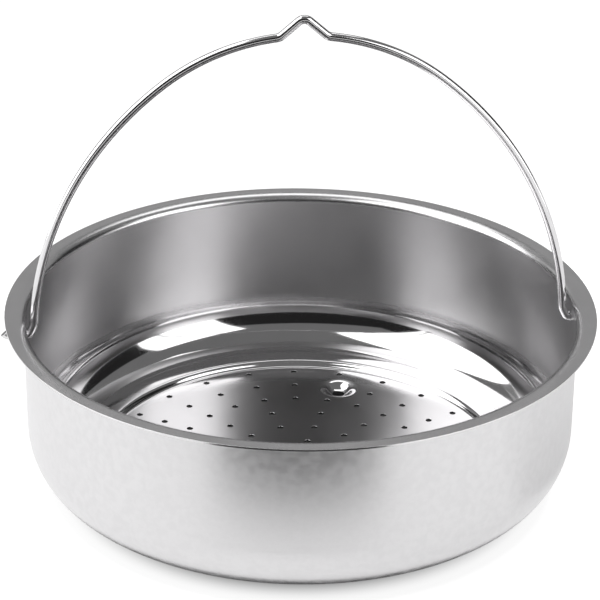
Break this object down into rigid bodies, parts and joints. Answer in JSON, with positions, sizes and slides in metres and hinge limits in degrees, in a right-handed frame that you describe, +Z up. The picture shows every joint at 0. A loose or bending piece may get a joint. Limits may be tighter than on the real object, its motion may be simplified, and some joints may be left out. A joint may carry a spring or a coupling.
{
  "type": "steamer basket",
  "caption": "Round sheet-steel steamer basket with a flat rim, perforated floor, pressed feet and a wire bail handle that swings in the wall.",
  "frame": {"origin": "centre of the base, on the plane of the feet", "axes": "+Z up, X along the bail's pivot axis, Y across it"},
  "size_m": [0.2236, 0.22, 0.1834],
  "materials": {
    "shell_steel": "satin wall, polished floor",
    "wire_steel": "bright drawn"
  },
  "bodies": {
    "basket": {"basket_shell": "shell_steel"},
    "bail": {"bail_handle": "wire_steel"}
  },
  "joints": [
    {"name": "bail_swing", "type": "hinge", "parent": "basket", "child": "bail", "pos_m": [0, 0, 0.06125], "axis": [1, 0, 0], "range_deg": [-80, 80]}
  ]
}
